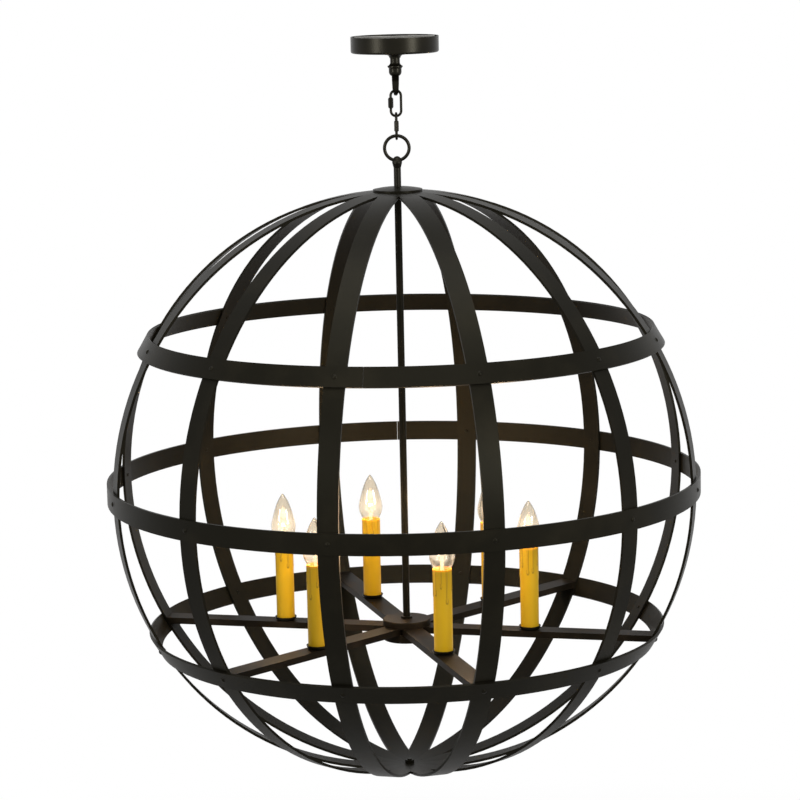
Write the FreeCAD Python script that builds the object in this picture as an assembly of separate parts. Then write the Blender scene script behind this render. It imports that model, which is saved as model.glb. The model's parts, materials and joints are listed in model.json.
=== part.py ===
import FreeCAD, Part
import math
import os

from FreeCAD import Vector

# Orb chandelier in millimetres, +Z up.
# The origin is on the hanging axis, in the ceiling plane.

# Orb
equator_radius = 370.0
strap_width = 25.4
strap_thickness = 3.2
rib_count = 12
first_rib_angle = 15.0
band_latitude_angles = {"ring_upper": 30.0, "ring_equator": 0.0, "ring_lower": -31.0}
band_joint_angles = {"ring_upper": -99.0, "ring_equator": 90.0, "ring_lower": 60.0}
band_joint_gap = 0.4
mitre_gap = 0.1
cut_margin = 5.0

# Rivets at the crossings
rivet_shank_radius = 1.6
rivet_hole_clearance = 0.05
rivet_head_radius = 3.2
rivet_head_height = 1.5
rivet_tail_radius = 2.3
rivet_tail_height = 1.0

# Centre rod and the parts clamped on it
rod_radius = 4.4
rod_bore_radius = 2.4
rod_spigot_radius = 3.5
rod_spigot_length = 16.0
rod_hole_clearance = 0.1
rod_end = 5.0
nut_across_flats = 12.0
nut_height = 2.6
cap_radius = 30.5
cap_rim_height = 2.4
cap_crown_height = 4.4
inner_plate_radius = 25.0
inner_plate_thickness = 3.0

# Screw, cap and nut at the bottom pole
foot_cap_radius = 25.0
foot_cap_thickness = 2.0
foot_screw_radius = 3.0
foot_screw_head_radius = 5.5
foot_screw_head_height = 2.4
foot_nut_across_flats = 10.0
foot_nut_height = 4.0
foot_hole_clearance = 0.2

# Hub and arms
arm_count = 6
first_arm_angle = 45.0
arm_rise = 8.0
arm_width = strap_width
arm_height = 8.0
arm_wall = 1.8
arm_tip_radius = 5.2
hub_radius = 30.0
hub_boss_height = 8.0
hub_pan_height = 10.4
hub_wall = 2.4
hub_edge_radius = 1.4

# Candle lights
candle_radius = 158.3
cup_height = 4.7
cup_rim_radius = 13.7
cup_foot_radius = 10.5
cup_recess = 1.1
cup_floor = 1.2
cover_radius = 12.0
cover_wall = 1.2
cover_height = 101.6
cover_clearance = 0.3
nipple_radius = 4.75
nipple_bore_radius = 2.2
nipple_end = 5.2
candle_nut_across_flats = 14.0
candle_nut_height = 3.0
socket_radius = 8.0
socket_gap = 0.5
socket_floor = 4.0
socket_fit = 0.1
lamp_shell_radius = 5.9
lamp_shell_height = 15.6
lamp_contact_radius = 2.5
lamp_contact_height = 2.3
lamp_radius = 15.65
lamp_height = 58.5
lamp_neck_radius = 6.5
lamp_rim_radius = 10.2
lamp_shoulder = 10.0
lamp_tip_radius = 1.1
lamp_glass_wall = 1.0
lamp_stem_radius = 2.0
lamp_stem_height = 9.5

# Hang loop and quick links
loop_outer_radius = 17.2
loop_wire_radius = 2.1
stem_radius = 4.5
stem_length = 30.0
loop_head_radius = 6.15
loop_head_height = 8.0
loop_tip_radius = 4.8
loop_tip_rise = 3.2
link_width = 15.8
link_length = 34.4
link_wire_radius = 1.6
sleeve_radius = 2.8
sleeve_length = 13.0
sleeve_bore_clearance = 0.05
sleeve_offset = 0.5
link_opening = 1.6

# Canopy, loop body and crossbar
canopy_height = 20.0
canopy_wall = 1.2
canopy_edge_radius = 2.6
neck_radius = 6.0
neck_running_fit = 0.05
canopy_hole_clearance = 0.4
collar_radius = 13.7
collar_height = 6.6
bead_radius = 9.4
shoulder_radius = 7.8
loop_body_top_z = -10.0
bead_drop = 16.7
shoulder_drop = 6.6
foot_drop = 5.2
eye_root = 2.7
eye_bar_radius = 2.4
eye_hole_radius = 8.6
eye_half_width = 4.5
eye_half_width_low = 3.5
crossbar_length = 98.0
crossbar_end_clearance = 3.8
crossbar_width = 16.0
crossbar_thickness = 2.0
slot_spacing = 70.0
slot_length = 12.0
slot_width = 4.4
mount_nipple_radius = 4.75
mount_nipple_bore_radius = 2.4
mount_nipple_length = 22.0
mount_nut_across_flats = 14.0
mount_nut_height = 3.0

# Levels that follow from the sizes above, from the ceiling down
canopy_radius = crossbar_length / 2 + crossbar_end_clearance + canopy_wall
bead_z = -canopy_height - bead_drop
foot_z = bead_z - shoulder_drop - foot_drop
eye_centre_z = foot_z + eye_root - eye_hole_radius - 2 * eye_bar_radius
eye_bar_top_z = eye_centre_z - eye_hole_radius
link_arc_radius = link_width / 2 - link_wire_radius
upper_link_bottom_z = eye_bar_top_z + 2 * link_wire_radius - link_length
upper_link_centre_z = upper_link_bottom_z + link_length / 2
lower_link_bottom_z = upper_link_bottom_z + 4 * link_wire_radius - link_length
lower_link_centre_z = lower_link_bottom_z + link_length / 2
loop_centre_z = lower_link_bottom_z + 2 * link_wire_radius + 2 * loop_wire_radius - loop_outer_radius
cap_top_z = loop_centre_z - loop_outer_radius - stem_length
band_inner_radius = equator_radius - strap_thickness
rib_outer_radius = math.sqrt(band_inner_radius ** 2 - (strap_width / 2) ** 2) - 0.01
rib_inner_radius = rib_outer_radius - strap_thickness
orb_centre_z = cap_top_z - cap_crown_height - rib_outer_radius
half_pitch = math.radians(180.0 / rib_count)
pole_hole_radius = rod_radius + 3 * rod_hole_clearance
lower_band_z = orb_centre_z + equator_radius * math.sin(math.radians(band_latitude_angles["ring_lower"]))
arm_top_z = lower_band_z + arm_rise
arm_bottom_z = arm_top_z - arm_height
hub_top_z = arm_top_z + hub_boss_height
hub_bottom_z = arm_bottom_z - hub_pan_height
cover_bottom_z = arm_top_z + cup_height - cup_recess
cover_top_z = cover_bottom_z + cover_height
lamp_seat_z = cover_top_z - lamp_shoulder - lamp_shell_height - lamp_contact_height
socket_top_z = cover_top_z - lamp_shoulder - socket_gap
socket_bottom_z = lamp_seat_z - socket_floor

axis_z = Vector(0, 0, 1)


def at(point):
    return Vector(point[0], 0, point[1])


# Closed face in the XZ plane. A step is a point (r, z), or a pair of points for an arc.
def profile(start, *steps):
    edges = []
    here = start
    for step in steps + (start,):
        if isinstance(step[0], tuple):
            middle, end = step
            edges.append(Part.Arc(at(here), at(middle), at(end)).toShape())
        else:
            end = step
            if (at(end) - at(here)).Length > 1e-6:
                edges.append(Part.makeLine(at(here), at(end)))
        here = end
    return Part.Face(Part.Wire(edges))


# Arc step along a ball about the axis, between two points of the outline.
def ball_arc(start, end):
    centre = (end[0] ** 2 - start[0] ** 2 + end[1] ** 2 - start[1] ** 2) / (2 * (end[1] - start[1]))
    distance = (start[0] + end[0]) / 2
    rise = math.sqrt(start[0] ** 2 + (start[1] - centre) ** 2 - distance ** 2)
    return (distance, centre + math.copysign(rise, start[1] - centre)), end


def turned(start, *steps):
    return profile(start, *steps).revolve(Vector(0, 0, 0), axis_z, 360)


def cylinder(radius, low, high):
    return Part.makeCylinder(radius, high - low, Vector(0, 0, low))


def tube(radius, bore, low, high):
    return cylinder(radius, low, high).cut(cylinder(bore, low - 1, high + 1))


def hex_nut(across_flats, bore, low, height):
    corner = across_flats / math.sqrt(3)
    corners = [Vector(corner * math.cos(math.radians(60 * k)), corner * math.sin(math.radians(60 * k)), low)
               for k in range(7)]
    prism = Part.Face(Part.makePolygon(corners)).extrude(Vector(0, 0, height))
    return prism.cut(cylinder(bore, low - 1, low + height + 1))


def turn(shape, angle, centre=Vector(0, 0, 0), axis=axis_z):
    copy = shape.copy()
    copy.rotate(centre, axis, angle)
    return copy


def move(shape, x, y, z):
    copy = shape.copy()
    copy.translate(Vector(x, y, z))
    return copy


# Prism of a flat wedge about +X, with its sides half of the gap inside the two planes.
def wedge(half_angle, reach, low, high, gap):
    start = gap / 2 / math.sin(half_angle)
    side = (reach - start) * math.tan(half_angle)
    corners = [Vector(start, 0, low), Vector(reach, -side, low), Vector(reach, side, low), Vector(start, 0, low)]
    return Part.Face(Part.makePolygon(corners)).extrude(Vector(0, 0, high - low))


def rib_angles():
    return [first_rib_angle + 360.0 / rib_count * k for k in range(rib_count)]


def arm_angles():
    return [first_arm_angle + 360.0 / arm_count * k for k in range(arm_count)]


# A shape on +X at the equator, carried to a latitude and an angle about the orb.
def on_orb(shape, latitude, angle):
    centre = Vector(0, 0, orb_centre_z)
    return turn(turn(shape, -latitude, centre, Vector(0, 1, 0)), angle)


def rivet_hole():
    start = Vector(equator_radius - 4 * strap_thickness, 0, orb_centre_z)
    return Part.makeCylinder(rivet_shank_radius + rivet_hole_clearance, 6 * strap_thickness, start, Vector(1, 0, 0))


# Flat strap bent to a circle. Its ends are cut to wedge tips that tile round the poles.
def rib():
    centre = Vector(0, 0, orb_centre_z)
    ring = Part.makeCylinder(rib_outer_radius, strap_width, centre - Vector(0, strap_width / 2, 0), Vector(0, 1, 0))
    bore = Part.makeCylinder(rib_inner_radius, strap_width + 2, centre - Vector(0, strap_width / 2 + 1, 0),
                             Vector(0, 1, 0))
    low = orb_centre_z - equator_radius - cut_margin
    high = orb_centre_z + equator_radius + cut_margin
    strap = ring.cut(bore).common(wedge(half_pitch, equator_radius + cut_margin, low, high, mitre_gap))
    strap = strap.cut(cylinder(pole_hole_radius, orb_centre_z, high))
    strap = strap.cut(cylinder(foot_screw_radius + foot_hole_clearance, low, orb_centre_z))
    for latitude in band_latitude_angles.values():
        strap = strap.cut(on_orb(rivet_hole(), latitude, 0))
    return strap


# Strap rolled on the flat of a cone that touches the ribs at its own latitude.
def band(latitude, joint_angle):
    tilt = math.radians(latitude)
    along = (-math.sin(tilt) * strap_width / 2, math.cos(tilt) * strap_width / 2)
    corners = []
    for radius, side in ((band_inner_radius, -1), (equator_radius, -1), (equator_radius, 1), (band_inner_radius, 1)):
        corners.append((radius * math.cos(tilt) + side * along[0],
                        orb_centre_z + radius * math.sin(tilt) + side * along[1]))
    gap_angle = math.degrees(band_joint_gap / (equator_radius * math.cos(tilt)))
    section = turn(profile(*corners), joint_angle + gap_angle / 2)
    strap = section.revolve(Vector(0, 0, 0), axis_z, 360 - gap_angle)
    for angle in rib_angles():
        strap = strap.cut(on_orb(rivet_hole(), latitude, angle))
    return strap


# Round-head rivet through band and rib, closed with a smaller tail inside.
def rivet():
    head_start = equator_radius
    tail_start = rib_inner_radius
    shank = rivet_shank_radius
    dome = ball_arc((rivet_head_radius, head_start), (0, head_start + rivet_head_height))
    body = turned((0, tail_start - rivet_tail_height), (rivet_tail_radius * 0.7, tail_start - rivet_tail_height),
                  (rivet_tail_radius, tail_start), (shank, tail_start), (shank, head_start),
                  (rivet_head_radius, head_start), dome)
    body.rotate(Vector(0, 0, 0), Vector(0, 1, 0), 90)
    body.translate(Vector(0, 0, orb_centre_z))
    return body


def rivets():
    one = rivet()
    return [on_orb(one, latitude, angle) for latitude in band_latitude_angles.values() for angle in rib_angles()]


# Height over the orb's centre of a ball that lies on the mitres between the ribs near the poles.
def pole_ball(distance):
    radius = rib_outer_radius / math.cos(half_pitch) ** 2
    return rib_outer_radius - radius + math.sqrt(radius ** 2 - distance ** 2)


def top_cap():
    hole = rod_radius + rod_hole_clearance
    rim = (cap_radius, orb_centre_z + pole_ball(cap_radius))
    inner = (hole, orb_centre_z + pole_ball(hole))
    shoulder = (cap_radius, rim[1] + cap_rim_height)
    seat = (stem_radius + 1.5, cap_top_z)
    return turned(inner, ball_arc(inner, rim), shoulder, ball_arc(shoulder, seat), (hole, cap_top_z))


def inner_plate_top_z():
    return orb_centre_z + math.sqrt(rib_inner_radius ** 2 - inner_plate_radius ** 2)


def top_inner_plate():
    high = inner_plate_top_z()
    return tube(inner_plate_radius, rod_radius + rod_hole_clearance, high - inner_plate_thickness, high)


def centre_rod():
    shoulder = cap_top_z - 0.3
    bottom = hub_bottom_z - rod_end
    rod = cylinder(rod_radius, bottom, shoulder).fuse(cylinder(rod_spigot_radius, shoulder, shoulder + rod_spigot_length))
    return rod.cut(cylinder(rod_bore_radius, bottom - 1, shoulder + rod_spigot_length + 1))


def rod_nuts():
    under_plate = inner_plate_top_z() - inner_plate_thickness - nut_height
    levels = (under_plate, hub_top_z, hub_bottom_z - nut_height)
    return [hex_nut(nut_across_flats, rod_radius, level, nut_height) for level in levels]


def foot_cap():
    hole = foot_screw_radius + foot_hole_clearance
    rim = (foot_cap_radius, orb_centre_z - pole_ball(foot_cap_radius))
    inner = (hole, orb_centre_z - pole_ball(hole))
    low = orb_centre_z - rib_outer_radius - foot_cap_thickness
    return turned(inner, ball_arc(inner, rim), (foot_cap_radius, rim[1] - foot_cap_thickness / 2),
                  (foot_cap_radius - 3, low), (hole, low))


def foot_screw():
    seat = orb_centre_z - rib_outer_radius - foot_cap_thickness
    top = orb_centre_z - rib_inner_radius + foot_nut_height + 1.5
    bottom = (0, seat - foot_screw_head_height)
    return turned(bottom, ball_arc(bottom, (foot_screw_head_radius, seat)), (foot_screw_radius, seat),
                  (foot_screw_radius, top), (0, top))


def foot_nut():
    corner = foot_nut_across_flats / math.sqrt(3)
    seat = orb_centre_z - math.sqrt(rib_inner_radius ** 2 - corner ** 2)
    return hex_nut(foot_nut_across_flats, foot_screw_radius, seat, foot_nut_height)


# Boss that presses the arms' webs from above.
def hub_boss():
    r = hub_radius
    e = hub_edge_radius
    corner = (r - e * 0.293, hub_top_z - e * 0.293)
    hole = rod_radius + rod_hole_clearance
    return turned((hole, hub_top_z), (r - e, hub_top_z), (corner, (r, hub_top_z - e)), (r, arm_top_z),
                  (hole, arm_top_z))


# Wiring pan that closes the channels of the arms from below.
def hub_pan():
    r = hub_radius
    e = hub_edge_radius
    low = hub_bottom_z
    corner = (r - e * 0.293, low + e * 0.293)
    hole = rod_radius + rod_hole_clearance
    return turned((hole, low), (r - e, low), (corner, (r, low + e)), (r, arm_bottom_z),
                  (r - hub_wall, arm_bottom_z), (r - hub_wall, low + hub_wall), (hole, low + hub_wall))


# Inverted channel, pointed at the hub and cut to the rib's inner curve at the far end.
def arm():
    half = arm_width / 2
    reach = rib_inner_radius
    bar = Part.makeBox(reach, arm_width, arm_height, Vector(0, -half, arm_bottom_z))
    hollow = Part.makeBox(reach + 2, arm_width - 2 * arm_wall, arm_height, Vector(-1, arm_wall - half,
                                                                                 arm_bottom_z - arm_wall))
    sphere_side = Part.makeCylinder(rib_inner_radius - 0.01, arm_width + 2, Vector(0, -half - 1, orb_centre_z),
                                    Vector(0, 1, 0))
    tip = wedge(math.radians(180.0 / arm_count), reach + cut_margin, arm_bottom_z - 1, arm_top_z + 1, mitre_gap)
    channel = bar.cut(hollow).common(sphere_side).common(tip)
    channel = channel.cut(cylinder(arm_tip_radius, arm_bottom_z - 1, arm_top_z + 1))
    hole = move(cylinder(nipple_radius, arm_bottom_z - 1, arm_top_z + 1), candle_radius, 0, 0)
    return channel.cut(hole)


# Flared dish with a recess for the candle cover.
def candle_cup():
    rim_z = arm_top_z + cup_height
    ledge_z = rim_z - cup_recess
    recess = cover_radius + cover_clearance
    side = (cup_rim_radius - 0.7, arm_top_z + cup_height * 0.5)
    inner = candle_nut_across_flats / math.sqrt(3) + 0.9
    return turned((nipple_radius, arm_top_z), (cup_foot_radius, arm_top_z), (side, (cup_rim_radius, rim_z)),
                  (recess, rim_z), (recess, ledge_z), (inner, ledge_z), (inner, arm_top_z + cup_floor),
                  (nipple_radius, arm_top_z + cup_floor))


def candle_cover():
    return tube(cover_radius, cover_radius - cover_wall, cover_bottom_z, cover_top_z)


def candle_nipple():
    return tube(nipple_radius, nipple_bore_radius, arm_top_z - nipple_end, socket_bottom_z)


def candle_nuts():
    levels = (arm_top_z + cup_floor, arm_top_z - arm_wall - candle_nut_height)
    return [hex_nut(candle_nut_across_flats, nipple_radius, level, candle_nut_height) for level in levels]


def socket():
    bore = lamp_shell_radius + socket_fit
    body = cylinder(socket_radius, socket_bottom_z, socket_top_z)
    return body.cut(cylinder(bore, lamp_seat_z, socket_top_z + 1))


# Glass that swells from the neck and runs straight to a small round tip. Offset 0 is its outside.
def lamp_outline(offset):
    rim = cover_top_z
    neck = lamp_neck_radius - offset
    base = rim - lamp_shoulder + offset
    tip = rim + lamp_height - offset * 3.2
    nib = lamp_tip_radius - offset * 0.7
    waist = (lamp_rim_radius * 0.75 - offset, rim - lamp_shoulder * 0.47)
    swell = (lamp_radius * 0.86 - offset, rim + lamp_height * 0.1)
    widest = (lamp_radius - offset, rim + lamp_height * 0.28)
    turn_in = (lamp_radius * 0.973 - offset, rim + lamp_height * 0.357)
    cone_start = (lamp_radius * 0.893 - offset, rim + lamp_height * 0.431)
    cone_end = (nib, tip - nib * 0.73)
    return turned((0, base), (neck, base), (waist, (lamp_rim_radius - offset, rim)), (swell, widest),
                  (turn_in, cone_start), cone_end, ball_arc(cone_end, (0, tip)))


# Glass mount that stands on the closed end of the lamp.
def lamp_stem():
    foot = cover_top_z - lamp_shoulder + lamp_glass_wall / 2
    top = cover_top_z + lamp_stem_height
    shoulder = (lamp_stem_radius, top - lamp_stem_radius * 0.9)
    return turned((0, foot), (lamp_stem_radius * 2, foot), (lamp_stem_radius * 1.2, foot + lamp_shoulder / 2),
                  shoulder, ball_arc(shoulder, (0, top)))


def lamp():
    glass = lamp_outline(0).cut(lamp_outline(lamp_glass_wall)).fuse(lamp_stem())
    shell_top = cover_top_z - lamp_shoulder
    shell_low = shell_top - lamp_shell_height
    base = turned((0, lamp_seat_z), (lamp_contact_radius, lamp_seat_z), (lamp_contact_radius + 1, shell_low),
                  (lamp_shell_radius, shell_low + 2), (lamp_shell_radius, shell_top), (0, shell_top))
    return [glass, base]


def candles(shape):
    return [turn(move(shape, candle_radius, 0, 0), angle) for angle in arm_angles()]


# Ring for the chain, on a tapered head and a stem that screws down on the cap. The head's tip is a round nib
# inside the ring.
def hang_loop():
    ring_low = loop_centre_z - loop_outer_radius
    head_top = ring_low + loop_wire_radius / 2
    nib = (loop_tip_radius, ring_low + 2 * loop_wire_radius)
    spigot_top = cap_top_z - 0.3 + rod_spigot_length + 1
    body = turned((0, cap_top_z), (stem_radius, cap_top_z), (stem_radius, head_top - loop_head_height),
                  (loop_head_radius, head_top - loop_wire_radius), (loop_head_radius, head_top), nib,
                  ball_arc(nib, (0, nib[1] + loop_tip_rise)))
    body = body.cut(cylinder(rod_spigot_radius, cap_top_z - 1, spigot_top))
    ring = Part.makeTorus(loop_outer_radius - loop_wire_radius, loop_wire_radius, Vector(0, 0, loop_centre_z),
                          Vector(0, 1, 0))
    return body.fuse(ring)


# Quick link in the XZ plane about the origin, open in its left leg where the sleeve closes it.
def quick_link():
    straight = link_length - link_width
    arc_high = Part.makeTorus(link_arc_radius, link_wire_radius, Vector(0, 0, straight / 2), Vector(0, 1, 0))
    arc_low = Part.makeTorus(link_arc_radius, link_wire_radius, Vector(0, 0, -straight / 2), Vector(0, 1, 0))
    span = link_width + 2
    arc_high = arc_high.common(Part.makeBox(span, span, span, Vector(-span / 2, -span / 2, straight / 2)))
    arc_low = arc_low.common(Part.makeBox(span, span, span, Vector(-span / 2, -span / 2, -straight / 2 - span)))
    right = move(cylinder(link_wire_radius, -straight / 2, straight / 2), link_arc_radius, 0, 0)
    gap_high = sleeve_offset + sleeve_length / 2 - 0.8
    left_low = move(cylinder(link_wire_radius, -straight / 2, gap_high - link_opening), -link_arc_radius, 0, 0)
    left_high = move(cylinder(link_wire_radius, gap_high, straight / 2), -link_arc_radius, 0, 0)
    return arc_high.fuse([arc_low, right, left_low, left_high]).removeSplitter()


# Nut of the quick link, six-sided with turned ends.
def link_sleeve():
    bore = link_wire_radius + sleeve_bore_clearance
    low = sleeve_offset - sleeve_length / 2
    high = sleeve_offset + sleeve_length / 2
    nut = hex_nut(2 * sleeve_radius, bore, low, sleeve_length)
    trim = turned((bore, low), (sleeve_radius - 0.4, low), (sleeve_radius + 0.45, low + 1.6),
                  (sleeve_radius + 0.45, high - 1.6), (sleeve_radius - 0.4, high), (bore, high))
    return move(nut.common(trim), -link_arc_radius, 0, 0)


def lower_link_place(shape):
    return move(turn(shape, 90), 0, 0, lower_link_centre_z)


def upper_link_place(shape):
    return move(shape, 0, 0, upper_link_centre_z)


# Eye in the YZ plane: tapered in thickness, with a round bar at the bottom and a flared hole.
def loop_eye():
    outer = eye_hole_radius + 2 * eye_bar_radius - 0.1
    flare = eye_hole_radius + eye_bar_radius
    centre = Vector(0, 0, eye_centre_z)
    plate = Part.makeCylinder(outer, 2 * outer, centre - Vector(outer, 0, 0), Vector(1, 0, 0))
    bar_z = eye_bar_top_z - eye_bar_radius
    low_z = eye_bar_top_z + 0.4
    high_z = eye_centre_z + outer
    front = profile((-eye_bar_radius, bar_z), ((0, bar_z - eye_bar_radius), (eye_bar_radius, bar_z)),
                    (eye_half_width_low, low_z), (eye_half_width, high_z), (-eye_half_width, high_z),
                    (-eye_half_width_low, low_z))
    front.translate(Vector(0, -2 * outer, 0))
    taper = front.extrude(Vector(0, 4 * outer, 0))
    hole = Part.makeCylinder(flare, 2 * outer, centre - Vector(outer, 0, 0), Vector(1, 0, 0))
    hole = hole.cut(Part.makeTorus(flare, eye_bar_radius, centre, Vector(1, 0, 0)))
    return plate.common(taper), hole


def canopy_loop():
    eye, hole = loop_eye()
    top = loop_body_top_z
    shoulder_z = bead_z - shoulder_drop
    body = turned((0, top), (neck_radius, top), (neck_radius, bead_z + 4.6),
                  ((bead_radius - 2.2, bead_z + 1.9), (bead_radius, bead_z + 0.6)),
                  (bead_radius, bead_z - 0.6), (shoulder_radius, bead_z - 2.6), (shoulder_radius, shoulder_z),
                  ((shoulder_radius - 0.9, shoulder_z - 3.1), (eye_half_width, foot_z)), (0, foot_z))
    bore = cylinder(mount_nipple_radius, -mount_nipple_length - 0.5, top + 1)
    return body.fuse(eye).cut(hole).cut(bore)


def canopy_collar():
    high = -canopy_height
    low = high - collar_height
    bore = neck_radius + neck_running_fit
    waist = (bore + 2.0, high - 3.9)
    return turned((bore, high), (collar_radius, high), (collar_radius, high - 1.2), (collar_radius - 0.9, high - 2.5),
                  (waist, (bore + 0.6, low)), (bore, low))


def canopy():
    r = canopy_radius
    e = canopy_edge_radius
    w = canopy_wall
    low = -canopy_height
    hole = neck_radius + canopy_hole_clearance
    outer_corner = (r - e * 0.293, low + e * 0.293)
    inner_corner = (r - w - (e - w) * 0.293, low + w + (e - w) * 0.293)
    return turned((hole, low), (r - e, low), (outer_corner, (r, low + e)), (r, 0), (r - w, 0), (r - w, low + e),
                  (inner_corner, (r - e, low + w)), (hole, low + w))


def slot():
    half = (slot_length - slot_width) / 2
    depth = 3 * crossbar_thickness
    box = Part.makeBox(2 * half, slot_width, depth, Vector(-half, -slot_width / 2, -depth / 2))
    ends = [move(cylinder(slot_width / 2, -depth / 2, depth / 2), side * half, 0, 0) for side in (-1, 1)]
    return box.fuse(ends)


def crossbar():
    bar = Part.makeBox(crossbar_length, crossbar_width, crossbar_thickness,
                       Vector(-crossbar_length / 2, -crossbar_width / 2, -crossbar_thickness))
    for side in (-1, 1):
        bar = bar.cut(move(slot(), side * slot_spacing / 2, 0, 0))
    return bar.cut(cylinder(mount_nipple_radius, -2 * crossbar_thickness, crossbar_thickness))


def mount_nipple():
    return tube(mount_nipple_radius, mount_nipple_bore_radius, -mount_nipple_length, -0.3)


def mount_nut():
    return hex_nut(mount_nut_across_flats, mount_nipple_radius, -crossbar_thickness - mount_nut_height,
                   mount_nut_height)


def every_node():
    nodes = {"crossbar": crossbar(), "mount_nipple": mount_nipple(), "mount_nut": mount_nut(),
             "canopy_loop": canopy_loop(), "canopy": canopy(), "canopy_collar": canopy_collar()}
    nodes["upper_link"] = upper_link_place(quick_link())
    nodes["upper_sleeve"] = upper_link_place(link_sleeve())
    nodes["lower_link"] = lower_link_place(quick_link())
    nodes["lower_sleeve"] = lower_link_place(link_sleeve())
    nodes.update({"hang_loop": hang_loop(), "centre_rod": centre_rod(), "top_cap": top_cap(),
                  "top_inner_plate": top_inner_plate(), "rod_nuts": rod_nuts(), "foot_cap": foot_cap(),
                  "foot_screw": foot_screw(), "foot_nut": foot_nut(), "hub_boss": hub_boss(), "hub_pan": hub_pan()})
    for number, angle in enumerate(rib_angles(), 1):
        nodes["rib_%02d" % number] = turn(rib(), angle)
    for name, latitude in band_latitude_angles.items():
        nodes[name] = band(latitude, band_joint_angles[name])
    nodes["rivets"] = rivets()
    for number, angle in enumerate(arm_angles(), 1):
        nodes["arm_%d" % number] = turn(arm(), angle)
    for number, cover in enumerate(candles(candle_cover()), 1):
        nodes["candle_cover_%d" % number] = cover
    nodes["candle_cups"] = candles(candle_cup())
    nodes["candle_nipples"] = candles(candle_nipple())
    nodes["candle_nuts"] = [nut for one in candle_nuts() for nut in candles(one)]
    nodes["sockets"] = candles(socket())
    glass, base = lamp()
    for number, pair in enumerate(zip(candles(glass), candles(base)), 1):
        nodes["lamp_%d" % number] = list(pair)
    return nodes


def write_parts():
    os.makedirs("parts", exist_ok=True)
    nodes = every_node()
    for name, shape in nodes.items():
        solids = shape if isinstance(shape, list) else [shape]
        whole = Part.makeCompound(solids) if len(solids) > 1 else solids[0]
        whole.exportStep("parts/%s.step" % name)
    print("%d nodes written" % len(nodes))


write_parts()
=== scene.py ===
import bpy
import json
import math
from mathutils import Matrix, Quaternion, Vector

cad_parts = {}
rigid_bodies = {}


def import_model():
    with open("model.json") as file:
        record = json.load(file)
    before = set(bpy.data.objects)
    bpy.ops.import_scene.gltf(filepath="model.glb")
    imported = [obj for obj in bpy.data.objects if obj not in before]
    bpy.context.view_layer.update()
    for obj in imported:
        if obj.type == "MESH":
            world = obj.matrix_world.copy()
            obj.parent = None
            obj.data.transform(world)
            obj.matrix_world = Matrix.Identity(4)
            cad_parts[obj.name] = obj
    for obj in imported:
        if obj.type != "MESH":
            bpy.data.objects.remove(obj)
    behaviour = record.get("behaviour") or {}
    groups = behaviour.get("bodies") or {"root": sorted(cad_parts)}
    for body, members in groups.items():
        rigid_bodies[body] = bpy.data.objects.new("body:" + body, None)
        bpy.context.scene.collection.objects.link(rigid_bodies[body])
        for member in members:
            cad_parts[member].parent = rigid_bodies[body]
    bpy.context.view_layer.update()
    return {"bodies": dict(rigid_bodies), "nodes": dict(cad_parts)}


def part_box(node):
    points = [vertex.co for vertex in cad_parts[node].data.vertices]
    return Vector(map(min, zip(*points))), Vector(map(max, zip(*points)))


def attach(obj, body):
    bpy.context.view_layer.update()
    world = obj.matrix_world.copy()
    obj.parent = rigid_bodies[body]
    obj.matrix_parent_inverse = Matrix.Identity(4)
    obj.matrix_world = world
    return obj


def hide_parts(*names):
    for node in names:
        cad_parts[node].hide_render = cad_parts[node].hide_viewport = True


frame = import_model()
nodes = frame["nodes"]
bodies = frame["bodies"]
mm = 0.001
lampCount = 6
mergeDistance = 0.001 * mm
print("frame loaded:", len(nodes), "nodes")


def deselectAll():
    if bpy.context.object and bpy.context.object.mode != "OBJECT":
        bpy.ops.object.mode_set(mode="OBJECT")
    bpy.ops.object.select_all(action="DESELECT")


def selectOnly(piece):
    deselectAll()
    piece.select_set(True)
    bpy.context.view_layer.objects.active = piece


def openForEdit(piece, action):
    selectOnly(piece)
    bpy.ops.object.mode_set(mode="EDIT")
    bpy.ops.mesh.select_mode(type="VERT")
    bpy.ops.mesh.select_all(action=action)


# Opens a piece with only the vertices selected that a test on their place picks.
def openWhere(piece, test):
    openForEdit(piece, "DESELECT")
    bpy.ops.object.mode_set(mode="OBJECT")
    for vertex in piece.data.vertices:
        vertex.select = test(vertex.co)
    bpy.ops.object.mode_set(mode="EDIT")


def applyPlace(piece):
    selectOnly(piece)
    bpy.ops.object.transform_apply(location=True, rotation=True, scale=True)


def applyModifier(piece, kind, settings):
    selectOnly(piece)
    modifier = piece.modifiers.new(kind.title(), kind)
    for name, value in settings.items():
        setattr(modifier, name, value)
    bpy.ops.object.modifier_apply(modifier=modifier.name)


def cleanMesh(piece):
    openForEdit(piece, "SELECT")
    bpy.ops.mesh.remove_doubles(threshold=mergeDistance)
    bpy.ops.mesh.normals_make_consistent(inside=False)
    bpy.ops.object.mode_set(mode="OBJECT")


def smoothShade(piece, angle):
    selectOnly(piece)
    bpy.ops.object.shade_smooth_by_angle(angle=math.radians(angle))


# A round piece: a circle that is extruded up and scaled, ring by ring, and closed at its end.
# A ring is (radius, height) in mm.
def turnPiece(name, rings, sides, startFill="NGON"):
    deselectAll()
    radius, height = rings[0]
    bpy.ops.mesh.primitive_circle_add(vertices=sides, radius=radius * mm,
                                      location=(0, 0, height * mm), fill_type=startFill)
    piece = bpy.context.object
    piece.name = name
    applyPlace(piece)
    openForEdit(piece, "SELECT")
    for nextRadius, nextHeight in rings[1:]:
        rise = (nextHeight - height) * mm
        growth = nextRadius / radius
        bpy.ops.mesh.extrude_edges_move(TRANSFORM_OT_translate={"value": (0, 0, rise)})
        bpy.ops.transform.resize(value=(growth, growth, 1),
                                 center_override=(0, 0, nextHeight * mm))
        radius, height = nextRadius, nextHeight
    bpy.ops.mesh.edge_face_add()
    cleanMesh(piece)
    return piece


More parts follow.
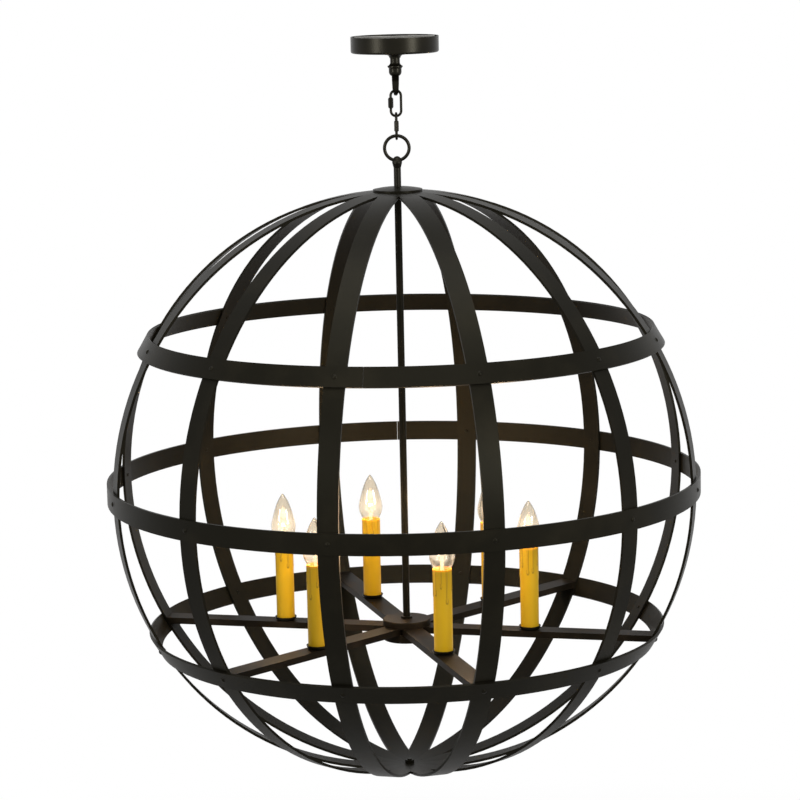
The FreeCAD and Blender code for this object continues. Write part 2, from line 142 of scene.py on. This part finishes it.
# A copy with its own mesh, moved and turned about its own axis.
def copyTo(piece, name, place, angle):
    selectOnly(piece)
    bpy.ops.object.duplicate(linked=False)
    copy = bpy.context.object
    copy.name = name
    copy.data.name = name
    copy.location = place
    copy.rotation_euler = (0, 0, math.radians(angle))
    applyPlace(copy)
    return copy


def removePiece(piece):
    bpy.data.objects.remove(piece)


def addObject(name, data):
    made = bpy.data.objects.new(name, data)
    bpy.context.scene.collection.objects.link(made)
    return made


# A socket that can be used in a sum like a number.
class Value:
    def __init__(self, nodeSet, socket):
        self.nodeSet = nodeSet
        self.socket = socket

    def pair(self, operation, first, second):
        sockets = {0: first, 1: second}
        return self.nodeSet.node("ShaderNodeMath", {"operation": operation}, sockets)

    def __add__(self, other):
        return self.pair("ADD", self, other)

    def __radd__(self, other):
        return self.pair("ADD", other, self)

    def __sub__(self, other):
        return self.pair("SUBTRACT", self, other)

    def __rsub__(self, other):
        return self.pair("SUBTRACT", other, self)

    def __mul__(self, other):
        return self.pair("MULTIPLY", self, other)

    def __rmul__(self, other):
        return self.pair("MULTIPLY", other, self)

    def __pow__(self, other):
        return self.pair("POWER", self, other)

    def __rpow__(self, other):
        return self.pair("POWER", other, self)

    def __abs__(self):
        return self.pair("ABSOLUTE", self, 0)


# The nodes of one material or world.
class NodeSet:
    def __init__(self, owner):
        owner.use_nodes = True
        self.tree = owner.node_tree
        self.tree.nodes.clear()

    # Any node: its type, its settings, and the values or links of its sockets.
    def node(self, kind, settings, sockets, output=0):
        made = self.tree.nodes.new(kind)
        for name, value in settings.items():
            setattr(made, name, value)
        for name, value in sockets.items():
            if isinstance(value, Value):
                self.tree.links.new(value.socket, made.inputs[name])
            else:
                made.inputs[name].default_value = value
        return Value(self, made.outputs[output]) if len(made.outputs) else None

    def place(self):
        return self.node("ShaderNodeTexCoord", {}, {}, "Object")

    def height(self, place):
        return self.node("ShaderNodeSeparateXYZ", {}, {0: place}, "Z")

    def noise(self, place, scale, detail, roughness):
        sockets = {"Vector": place, "Scale": scale, "Detail": detail, "Roughness": roughness}
        return self.node("ShaderNodeTexNoise", {}, sockets)

    def stretch(self, place, scale):
        return self.node("ShaderNodeMapping", {}, {"Vector": place, "Scale": scale})

    # 0 below low, 1 above high, smooth between.
    def step(self, value, low, high):
        settings = {"interpolation_type": "SMOOTHSTEP", "clamp": True}
        sockets = {"Value": value, "From Min": low, "From Max": high}
        return self.node("ShaderNodeMapRange", settings, sockets)

    def mix(self, factor, first, second):
        sockets = {0: factor, 6: first, 7: second}
        return self.node("ShaderNodeMix", {"data_type": "RGBA"}, sockets, 2)

    def bump(self, height, strength, distance):
        sockets = {"Strength": strength, "Distance": distance, "Height": height}
        return self.node("ShaderNodeBump", {}, sockets)

    def surface(self, sockets):
        return self.node("ShaderNodeBsdfPrincipled", {}, sockets)

    def output(self, kind, shader):
        self.node(kind, {}, {"Surface": shader})

    def finish(self, sockets):
        self.output("ShaderNodeOutputMaterial", self.surface(sockets))


def newMaterial(name):
    material = bpy.data.materials.new(name)
    return material, NodeSet(material)


def color(red, green, blue):
    return (red, green, blue, 1)


def useMaterial(piece, material):
    piece.data.materials.clear()
    piece.data.materials.append(material)


# In the looks a noise is (scale, detail, roughness) and a bump is (strength, distance).
ironCoat = {"grain": (900.0, 3.0, 0.6), "patchRange": (0.42, 0.72), "fleckRange": (0.62, 0.8),
            "fleckShare": 0.25, "blotchSpread": 0.14, "grainSpread": 0.08, "bumpStrength": 0.3}
canopyLook = {"base": color(0.0024, 0.0021, 0.0014), "worn": color(0.0054, 0.0045, 0.0028),
              "fleck": color(0.015, 0.013, 0.009), "specular": 0.12,
              "specularTint": color(1.0, 0.94, 0.74), "roughness": 0.31,
              "blotch": (14.0, 4.0, 0.55), "bumpDistance": 0.00012}
cageLook = {"base": color(0.0036, 0.0032, 0.0021), "worn": color(0.0062, 0.0053, 0.0033),
            "fleck": color(0.015, 0.013, 0.009), "specular": 0.05,
            "specularTint": color(1.0, 0.94, 0.70), "roughness": 0.38,
            "blotch": (14.0, 4.0, 0.55), "bumpDistance": 0.00013}
# The arms' and hub's copy of the coat: its browner, lighter base and worn tones are painted warm
# lamp light.
armLook = {"base": color(0.0040, 0.0031, 0.0020), "worn": color(0.0110, 0.0078, 0.0046),
           "fleck": color(0.020, 0.015, 0.009), "specular": 0.035,
           "specularTint": color(1.0, 0.88, 0.66), "roughness": 0.46,
           "blotch": (22.0, 4.0, 0.55), "bumpDistance": 0.00014}


# Bronze-black powder coat: fine grain, soft blotches and slightly browner patches.
def darkIron(name, look):
    material, nodeSet = newMaterial(name)
    place = nodeSet.place()
    grain = nodeSet.noise(place, *ironCoat["grain"])
    blotch = nodeSet.noise(place, *look["blotch"])
    patch = nodeSet.step(blotch, *ironCoat["patchRange"])
    tone = nodeSet.mix(patch, look["base"], look["worn"])
    fleck = nodeSet.step(grain, *ironCoat["fleckRange"])
    tone = nodeSet.mix(fleck * ironCoat["fleckShare"], tone, look["fleck"])
    uneven = look["roughness"] + (blotch - 0.5) * ironCoat["blotchSpread"]
    roughness = uneven + (grain - 0.5) * ironCoat["grainSpread"]
    normal = nodeSet.bump(grain, ironCoat["bumpStrength"], look["bumpDistance"])
    nodeSet.finish({"Base Color": tone, "Roughness": roughness, "Normal": normal,
                    "Specular IOR Level": look["specular"],
                    "Specular Tint": look["specularTint"]})
    return material


# Dull grey plating on the ceiling fittings and the nuts, brushed along X.
steelLook = {"tones": (color(0.10, 0.096, 0.088), color(0.20, 0.195, 0.18)),
             "stretch": (40.0, 900.0, 900.0), "noise": (1.0, 4.0, 0.6), "roughness": 0.44,
             "spread": 0.2, "bump": (0.2, 0.00008), "also": {"Metallic": 1.0}}

# Black moulded lamp holders, with the fine grain of the mould.
holderLook = {"tones": (color(0.014, 0.013, 0.012), color(0.030, 0.028, 0.026)),
              "noise": (1100.0, 2.0, 0.5), "roughness": 0.45, "spread": 0.15,
              "bump": (0.2, 0.00006), "also": {}}

# Screw shell of the lamp, slightly stained brass.
brassLook = {"tones": (color(0.78, 0.60, 0.30), color(0.55, 0.40, 0.19)),
             "noise": (120.0, 4.0, 0.6), "roughness": 0.25, "spread": 0.2,
             "also": {"Metallic": 1.0}}

# Black glass between the screw shell and the contact.
blackGlassLook = {"tones": (color(0.012, 0.011, 0.013), color(0.03, 0.028, 0.03)),
                  "noise": (260.0, 3.0, 0.6), "roughness": 0.12, "spread": 0.12, "also": {}}

# Pressed glass of the stem, a little cloudy, with a faint painted warm glow for the filament's
# light in it.
stemLook = {"tones": (color(0.84, 0.82, 0.78), color(0.93, 0.90, 0.86)),
            "noise": (300.0, 2.0, 0.5), "roughness": 0.12, "spread": 0.1,
            "also": {"Transmission Weight": 0.8, "IOR": 1.5,
                     "Emission Color": color(1.0, 0.70, 0.40), "Emission Strength": 0.15}}


# Two tones mixed by a noise, which also varies the roughness by the spread, and the bump.
def mottled(name, look):
    material, nodeSet = newMaterial(name)
    place = nodeSet.place()
    if "stretch" in look:
        place = nodeSet.stretch(place, look["stretch"])
    cloud = nodeSet.noise(place, *look["noise"])
    sockets = {"Base Color": nodeSet.mix(cloud, *look["tones"]),
               "Roughness": look["roughness"] + cloud * look["spread"]}
    if "bump" in look:
        sockets["Normal"] = nodeSet.bump(cloud, *look["bump"])
    sockets.update(look["also"])
    nodeSet.finish(sockets)
    return material


# rim and glow are painted orange lamp light at the top of the cover.
coverLook = {"amber": color(0.41, 0.246, 0.006), "deep": color(0.335, 0.194, 0.005),
             "stretch": (60.0, 60.0, 14.0), "cloud": (1.0, 3.0, 0.5),
             "streak": color(0.15, 0.095, 0.008), "streakShare": 0.9,
             "rim": color(0.66, 0.27, 0.012), "rimShare": 0.7, "rimReach": 3.5 * mm,
             "glow": color(1.0, 0.34, 0.03), "glowStrength": 0.12, "glowFade": 2.0,
             "roughness": 0.40, "spread": 0.12, "specular": 0.12,
             "subsurface": 0.03, "subsurfaceRadius": (0.002, 0.001, 0.0004)}


# Amber plastic: olive brown at the edges of the drips. Near the rim a painted orange lamp glow,
# in the base colour and as a faint emission.
def amberCover():
    look = coverLook
    material, nodeSet = newMaterial("amberCover")
    place = nodeSet.place()
    cloud = nodeSet.noise(nodeSet.stretch(place, look["stretch"]), *look["cloud"])
    tone = nodeSet.mix(cloud, look["deep"], look["amber"])
    edge = nodeSet.node("ShaderNodeAttribute", {"attribute_name": "dripEdge"}, {}, "Fac")
    tone = nodeSet.mix(edge * look["streakShare"], tone, look["streak"])
    # Painted lamp light: the top few mm of the cover turn orange and glow.
    nearRim = nodeSet.step(nodeSet.height(place), rimHeight - look["rimReach"], rimHeight)
    tone = nodeSet.mix(nearRim * look["rimShare"], tone, look["rim"])
    glow = nodeSet.mix(nearRim ** look["glowFade"], color(0, 0, 0), look["glow"])
    nodeSet.finish({"Base Color": tone, "Roughness": look["roughness"] + cloud * look["spread"],
                    "Specular IOR Level": look["specular"],
                    "Subsurface Weight": look["subsurface"],
                    "Subsurface Radius": look["subsurfaceRadius"], "Subsurface Scale": 1.0,
                    "Emission Color": glow, "Emission Strength": look["glowStrength"]})
    return material


glassLook = {"tint": color(0.82, 0.765, 0.67), "roughness": 0.08, "index": 1.47,
             "glow": color(1.0, 0.78, 0.52), "glowStrength": 0.05,
             "glowHeight": 17 * mm, "glowFull": 3 * mm, "glowEnd": 26 * mm}


# Lamp glass. A faint glow round its widest part stands for the filament's light in it.
def lampGlass():
    look = glassLook
    material, nodeSet = newMaterial("lampGlass")
    height = nodeSet.height(nodeSet.place())
    away = abs(height - (rimHeight + look["glowHeight"]))
    around = 1 - nodeSet.step(away, look["glowFull"], look["glowEnd"])
    glow = nodeSet.mix(around, color(0, 0, 0), look["glow"])
    nodeSet.finish({"Base Color": look["tint"], "Roughness": look["roughness"],
                    "Transmission Weight": 1.0, "IOR": look["index"],
                    "Emission Color": glow, "Emission Strength": look["glowStrength"]})
    return material


filamentLook = {"cool": color(1.0, 0.72, 0.38), "hot": color(1.0, 0.84, 0.58),
                "noise": (500.0, 2.0, 0.5), "base": color(0.3, 0.28, 0.25),
                "roughness": 0.5, "strength": 14.0}


def hotFilament():
    look = filamentLook
    material, nodeSet = newMaterial("hotFilament")
    pulse = nodeSet.noise(nodeSet.place(), *look["noise"])
    nodeSet.finish({"Base Color": look["base"], "Roughness": look["roughness"],
                    "Emission Color": nodeSet.mix(pulse, look["cool"], look["hot"]),
                    "Emission Strength": look["strength"]})
    return material


# The rim and size of the candle covers, which all stand at the same height.
firstCoverLow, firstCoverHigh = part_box("candle_cover_1")
rimHeight = firstCoverHigh.z
rim = rimHeight / mm
coverHeight = firstCoverHigh.z - firstCoverLow.z
coverRadius = (firstCoverHigh.x - firstCoverLow.x) / 2
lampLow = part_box("lamp_1")[0].z / mm


def candlePlace(number):
    low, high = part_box("candle_cover_%d" % number)
    return Vector(((low.x + high.x) / 2, (low.y + high.y) / 2, 0))


# Lengths in the pieces' dictionaries are in mm. A drip is (angle, half width, length).
cover = {"wall": 1.2, "sides": 120, "smooth": 40, "bevel": 0.16, "bevelSegments": 2,
         "bevelReach": 0.01,
         "drips": ((0, 1.5, 31), (38, 1.2, 22), (74, 1.7, 41), (119, 1.3, 26), (163, 1.6, 35),
                   (205, 1.2, 19), (247, 1.7, 38), (291, 1.4, 24), (328, 1.6, 33)),
         "dripRise": 0.55, "neck": 0.75, "bulb": 0.55, "bulbAbove": 2, "bulbLength": 3.0,
         "pastEnd": 1.5, "endFade": 3.0, "thinEdge": 0.35, "thickEdge": 0.65,
         "firstRing": 0.7, "lastRing": 46, "ringGap": 0.9,
         "turns": (12, 75, 131, 160, 222, 290)}


# How much a place on the tube belongs to a wax drip, from 0 to 1.
def dripShare(point):
    angle = math.degrees(math.atan2(point.y, point.x))
    below = (rimHeight - point.z) / mm
    share = 0.0
    for dripAngle, halfWidth, length in cover["drips"]:
        aside = (angle - dripAngle + 180) % 360 - 180
        across = abs(math.radians(aside)) * coverRadius / mm
        fromBulb = (below - length + cover["bulbAbove"]) / cover["bulbLength"]
        swell = halfWidth * (cover["neck"] + cover["bulb"] * math.exp(-fromBulb ** 2))
        inside = max(0.0, 1 - (across / swell) ** 2)
        toEnd = (length + cover["pastEnd"] - below) / cover["endFade"]
        end = min(1.0, max(0.0, toEnd))
        share = max(share, math.sqrt(inside) * math.sqrt(end))
    return share


def makeCover():
    deselectAll()
    bpy.ops.mesh.primitive_cylinder_add(vertices=cover["sides"], radius=coverRadius,
                                        depth=coverHeight, end_fill_type="NOTHING",
                                        location=(0, 0, rimHeight - coverHeight / 2))
    piece = bpy.context.object
    piece.name = "coverMaster"
    applyPlace(piece)
    openForEdit(piece, "DESELECT")
    level = cover["firstRing"]
    while level < cover["lastRing"]:         # rings close together where the drips run
        bpy.ops.mesh.select_all(action="SELECT")
        bpy.ops.mesh.bisect(plane_co=(0, 0, rimHeight - level * mm), plane_no=(0, 0, 1))
        level += cover["ringGap"]
    bpy.ops.object.mode_set(mode="OBJECT")
    edge = piece.data.attributes.new("dripEdge", "FLOAT", "POINT")
    for vertex in piece.data.vertices:
        share = dripShare(vertex.co)
        weight = cover["thinEdge"] + cover["thickEdge"] * min(1, share * 2)
        edge.data[vertex.index].value = 4 * share * (1 - share) * weight
        outward = Vector((vertex.co.x, vertex.co.y, 0)).normalized()
        vertex.co -= outward * (cover["dripRise"] * (1 - share)) * mm
    thickness = cover["wall"] * mm - cover["dripRise"] * mm
    applyModifier(piece, "SOLIDIFY", {"thickness": thickness, "offset": -1.0})
    top = rimHeight - cover["bevelReach"] * mm
    bottom = rimHeight - coverHeight + cover["bevelReach"] * mm
    openWhere(piece, lambda place: place.z > top or place.z < bottom)
    bpy.ops.mesh.bevel(offset=cover["bevel"] * mm, segments=cover["bevelSegments"],
                       affect="EDGES")
    bpy.ops.object.mode_set(mode="OBJECT")
    smoothShade(piece, cover["smooth"])
    return piece


def makeCovers():
    master = makeCover()
    material = amberCover()
    for number, turn in enumerate(cover["turns"], 1):
        piece = copyTo(master, "drippedCover%d" % number, candlePlace(number), turn)
        useMaterial(piece, material)
        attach(piece, "orb")
        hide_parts("candle_cover_%d" % number)
    removePiece(master)
    print("candle covers made")


def raised(rings, base):
    return [(radius, base + height) for radius, height in rings]


# Heights from the cover's rim.
glass = {"sides": 48, "wall": 0.7, "smooth": 60, "levels": 1,
         "rings": ((6.1, -12.0), (6.5, -9.0), (7.6, -5.0), (10.2, 0.0), (12.0, 2.9),
                   (13.45, 5.9), (14.6, 8.8), (15.3, 11.7), (15.65, 15.0), (15.6, 18.0),
                   (15.2, 21.0), (14.3, 25.0), (13.2, 29.0), (12.0, 33.5), (10.8, 38.0),
                   (9.4, 42.0), (7.9, 46.0), (6.2, 49.6), (4.5, 52.7), (2.9, 55.3),
                   (1.5, 57.2), (0.5, 58.2))}


def makeGlass():
    piece = turnPiece("glassMaster", raised(glass["rings"], rim), glass["sides"], "NOTHING")
    levels = glass["levels"]
    applyModifier(piece, "SUBSURF", {"levels": levels, "render_levels": levels})
    applyModifier(piece, "SOLIDIFY", {"thickness": glass["wall"] * mm, "offset": -1.0})
    smoothShade(piece, glass["smooth"])
    return piece


# Contact, shoulder and thread from the lamp's lowest point, the collar from the shell's top.
# From the shoulder on, a radius is added to that of the shell.
shell = {"sides": 40, "smooth": 50, "radius": 5.9, "belowRim": 10.0,
         "contact": ((1.6, 0.0), (2.5, 0.5), (2.5, 1.6), (3.6, 2.3)), "shoulder": (-0.6, 4.3),
         "thread": ((-0.75, 0.0), (0.0, 0.7), (0.0, 1.3), (-0.75, 2.0)), "threadPitch": 2.6,
         "threadStart": 4.6, "threadStop": 3,
         "collar": ((-0.3, -2.4), (0.05, -1.8), (0.05, -0.3), (-0.4, 0.0))}


def makeScrewShell():
    top = rim - shell["belowRim"]
    around = [shell["shoulder"]]
    height = shell["threadStart"]
    while lampLow + height + shell["threadPitch"] < top - shell["threadStop"]:
        around += raised(shell["thread"], height)
        height += shell["threadPitch"]
    rings = raised(shell["contact"], lampLow)
    rings += [(shell["radius"] + radius, lampLow + level) for radius, level in around]
    rings += [(shell["radius"] + radius, top + level) for radius, level in shell["collar"]]
    piece = turnPiece("shellMaster", rings, shell["sides"])
    smoothShade(piece, shell["smooth"])
    return piece


# Black glass cone under the screw shell, round the contact. Heights from the lamp's lowest point.
insulator = {"sides": 40, "smooth": 40,
             "rings": ((2.55, 1.5), (3.1, 1.9), (3.75, 2.3), (5.4, 4.35))}


def makeInsulator():
    rings = raised(insulator["rings"], lampLow)
    piece = turnPiece("insulatorMaster", rings, insulator["sides"])
    smoothShade(piece, insulator["smooth"])
    return piece


# Pressed glass mount inside the lamp, drawn in at the top where the wires come out.
stem = {"sides": 20, "smooth": 60,
        "rings": ((5.2, -10.0), (3.6, -6.0), (2.4, -3.0), (2.0, 3.0), (2.2, 7.0), (1.5, 9.0),
                  (0.6, 9.6))}


def makeStem():
    piece = turnPiece("stemMaster", raised(stem["rings"], rim), stem["sides"])
    smoothShade(piece, stem["smooth"])
    return piece


wire = {"bevelSteps": 1, "order": 3, "steps": 4}


# A bent wire: a smooth curve with a round section, made a mesh.
def makeWire(name, points, radius):
    curve = bpy.data.curves.new(name, "CURVE")
    curve.dimensions = "3D"
    curve.bevel_depth = radius * mm
    curve.bevel_resolution = wire["bevelSteps"]
    curve.use_fill_caps = True
    spline = curve.splines.new("NURBS")
    spline.points.add(len(points) - 1)
    for point, place in zip(spline.points, points):
        point.co = (place[0] * mm, place[1] * mm, place[2] * mm, 1)
    spline.use_endpoint_u = True
    spline.order_u = wire["order"]
    spline.resolution_u = wire["steps"]
    selectOnly(addObject(name, curve))
    bpy.ops.object.convert(target="MESH")
    return bpy.context.object


# A coil across the lamp that bows up and to one side.
filament = {"turns": 22, "pointsPerTurn": 6, "span": 9.2, "coilRadius": 0.55, "height": 17.0,
            "bowAside": 1.2, "bowUp": 2.4, "wireRadius": 0.28}


def makeFilament():
    points = []
    steps = filament["turns"] * filament["pointsPerTurn"]
    for step in range(steps + 1):
        share = step / steps
        bow = math.sin(math.pi * share)
        angle = 2 * math.pi * step / filament["pointsPerTurn"]
        along = -filament["span"] / 2 + filament["span"] * share
        aside = filament["coilRadius"] * math.cos(angle) + filament["bowAside"] * bow
        lift = filament["coilRadius"] * math.sin(angle) + filament["bowUp"] * bow
        points.append((along, aside, rim + filament["height"] + lift))
    return makeWire("filamentMaster", points, filament["wireRadius"])


# The path is (distance from the middle, height from the cover's rim).
supports = {"path": ((0.9, 8.0), (1.1, 10.0), (3.6, 14.0), (4.7, 16.4), (4.7, 17.2)),
            "wireRadius": 0.22}


def makeSupports():
    pieces = []
    for side in (-1, 1):
        points = [(across * side, 0, rim + height) for across, height in supports["path"]]
        pieces.append(makeWire("support", points, supports["wireRadius"]))
    selectOnly(pieces[0])
    pieces[1].select_set(True)
    bpy.ops.object.join()
    piece = bpy.context.object
    piece.name = "supportMaster"
    return piece


lampTurns = (20, 64, 110, 155, 200, 250)


def makeLamps():
    parts = (("lampGlass", makeGlass(), lampGlass(), "lamp_glass"),
             ("lampScrew", makeScrewShell(), mottled("lampBrass", brassLook), "plain_steel"),
             ("lampInsulator", makeInsulator(), mottled("blackGlass", blackGlassLook),
              "lamp_glass"),
             ("lampStem", makeStem(), mottled("stemGlass", stemLook), "lamp_glass"),
             ("lampFilament", makeFilament(), hotFilament(), "plain_steel"),
             ("lampSupports", makeSupports(), plainSteelMaterial, "plain_steel"))
    for name, master, material, slot in parts:
        for number, turn in enumerate(lampTurns, 1):
            piece = copyTo(master, "%s%d" % (name, number), candlePlace(number), turn)
            useMaterial(piece, material)
            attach(piece, "lamp_%d" % number)
            if name == "lampGlass":
                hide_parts("lamp_%d" % number)
                piece.visible_shadow = False     # the lamp's light passes the glass
        removePiece(master)
    print("lamps made")


steelNodes = ("crossbar", "mount_nipple", "mount_nut", "candle_nipples", "candle_nuts")
canopyNodes = ("canopy", "canopy_collar", "canopy_loop", "upper_link", "upper_sleeve",
               "lower_link", "lower_sleeve", "hang_loop")
armNodes = ("hub_boss", "hub_pan") + tuple("arm_%d" % arm for arm in range(1, lampCount + 1))
canopyMaterial = darkIron("canopyIron", canopyLook)
cageMaterial = darkIron("cageIron", cageLook)
armMaterial = darkIron("armIron", armLook)
plainSteelMaterial = mottled("plainSteel", steelLook)
holderMaterial = mottled("holderPlastic", holderLook)
for name, node in nodes.items():
    if name in steelNodes:
        useMaterial(node, plainSteelMaterial)
    elif name == "sockets":
        useMaterial(node, holderMaterial)
    elif name in canopyNodes:                    # the smoothest coat, with satin highlights
        useMaterial(node, canopyMaterial)
    elif name in armNodes:                       # flatter, and browner and lighter in colour: painted warm lamp light
        useMaterial(node, armMaterial)
    else:
        useMaterial(node, cageMaterial)
print("metal nodes finished")

makeCovers()
makeLamps()


# Pale floor, soft studio light, white behind, and a small warm light in each lamp.
# A studio light is (name, place, size, power). Lengths are in metres here.
stage = {"floorDepth": -2.3, "floorRadius": 12.8, "floorSides": 96, "floorRoughness": 0.9,
         "floorTone": color(0.8, 0.8, 0.8), "plainRadius": 2.5, "whiteRadius": 5.12,
         "fillStrength": 0.17, "aim": (0, 0, -0.5),
         "lights": (("leftWindow", (-2.9, -2.5, 0.4), 1.1, 115.0),
                    ("rightWindow", (2.7, -2.7, 0.4), 1.1, 140.0),
                    ("topSoft", (0.0, -0.6, 1.9), 2.4, 80.0)),
         "lampGlow": 0.8, "lampColor": (1.0, 0.66, 0.36), "lampSize": 0.006,
         "lampRise": 0.02}


def makeFloor():
    deselectAll()
    bpy.ops.mesh.primitive_circle_add(vertices=stage["floorSides"], radius=stage["floorRadius"],
                                      fill_type="NGON", location=(0, 0, stage["floorDepth"]))
    floor = bpy.context.object
    floor.name = "floor"
    applyPlace(floor)
    material, nodeSet = newMaterial("paleFloor")
    place = nodeSet.place()
    away = nodeSet.node("ShaderNodeVectorMath", {"operation": "LENGTH"}, {0: place}, "Value")
    outer = nodeSet.step(away, stage["plainRadius"], stage["whiteRadius"])
    plain = nodeSet.surface({"Base Color": stage["floorTone"],
                             "Roughness": stage["floorRoughness"]})
    white = nodeSet.node("ShaderNodeEmission", {}, {"Color": color(1, 1, 1), "Strength": 1.0})
    shader = nodeSet.node("ShaderNodeMixShader", {}, {0: outer, 1: plain, 2: white})
    nodeSet.output("ShaderNodeOutputMaterial", shader)
    useMaterial(floor, material)


# White where the camera looks, also in gloss and through glass, and a soft fill for other light.
def makeWorld():
    world = bpy.data.worlds.new("studio")
    bpy.context.scene.world = world
    nodeSet = NodeSet(world)
    seen = nodeSet.node("ShaderNodeLightPath", {}, {}, "Is Camera Ray")
    through = nodeSet.node("ShaderNodeLightPath", {}, {}, "Is Transmission Ray")
    shiny = nodeSet.node("ShaderNodeLightPath", {}, {}, "Is Glossy Ray")
    white = 1 - (1 - seen) * (1 - through) * (1 - shiny)
    fill, bright = [nodeSet.node("ShaderNodeBackground", {},
                                 {"Color": color(1, 1, 1), "Strength": strength})
                    for strength in (stage["fillStrength"], 1.0)]
    shader = nodeSet.node("ShaderNodeMixShader", {}, {0: white, 1: fill, 2: bright})
    nodeSet.output("ShaderNodeOutputWorld", shader)


def makeLights():
    for name, place, size, power in stage["lights"]:
        light = bpy.data.lights.new(name, "AREA")
        light.shape = "SQUARE"
        light.size = size
        light.energy = power
        toAim = Vector(stage["aim"]) - Vector(place)
        lightObject = addObject(name, light)
        lightObject.location = place
        lightObject.rotation_euler = toAim.to_track_quat("-Z", "Y").to_euler()
    for number in range(1, lampCount + 1):
        light = bpy.data.lights.new("candleGlow%d" % number, "POINT")
        light.shadow_soft_size = stage["lampSize"]
        light.energy = stage["lampGlow"]
        light.color = stage["lampColor"]
        lightObject = addObject(light.name, light)
        rise = Vector((0, 0, rimHeight + stage["lampRise"]))
        lightObject.location = candlePlace(number) + rise
        lightObject.visible_transmission = False     # not seen through the glass
        lightObject.parent = bodies["orb"]


camera = {"lens": 135.4, "sensor": 36, "clipEnd": 50, "distance": 3.768, "elevation": 11.116,
          "side": -91.15, "tilt": 1.564, "pan": 0.04, "roll": -1.2,
          "middle": (0.0, 0.0, -0.555)}


def makeCamera():
    side = math.radians(camera["side"])
    rise = math.radians(camera["elevation"])
    toCamera = Vector((math.cos(side) * math.cos(rise), math.sin(side) * math.cos(rise),
                       math.sin(rise)))
    data = bpy.data.cameras.new("photoCamera")
    data.lens = camera["lens"]
    data.sensor_width = camera["sensor"]
    data.clip_end = camera["clipEnd"]
    cameraObject = addObject("photoCamera", data)
    bpy.context.scene.camera = cameraObject
    cameraObject.location = Vector(camera["middle"]) + toCamera * camera["distance"]
    turn = (-toCamera).to_track_quat("-Z", "Y")
    for axis, name in (((0, 1, 0), "pan"), ((1, 0, 0), "tilt"), ((0, 0, 1), "roll")):
        turn = turn @ Quaternion(axis, math.radians(camera[name]))
    cameraObject.rotation_mode = "QUATERNION"
    cameraObject.rotation_quaternion = turn


makeFloor()
makeWorld()
makeLights()
makeCamera()
bpy.context.scene.view_settings.view_transform = "Standard"
print("stage ready")
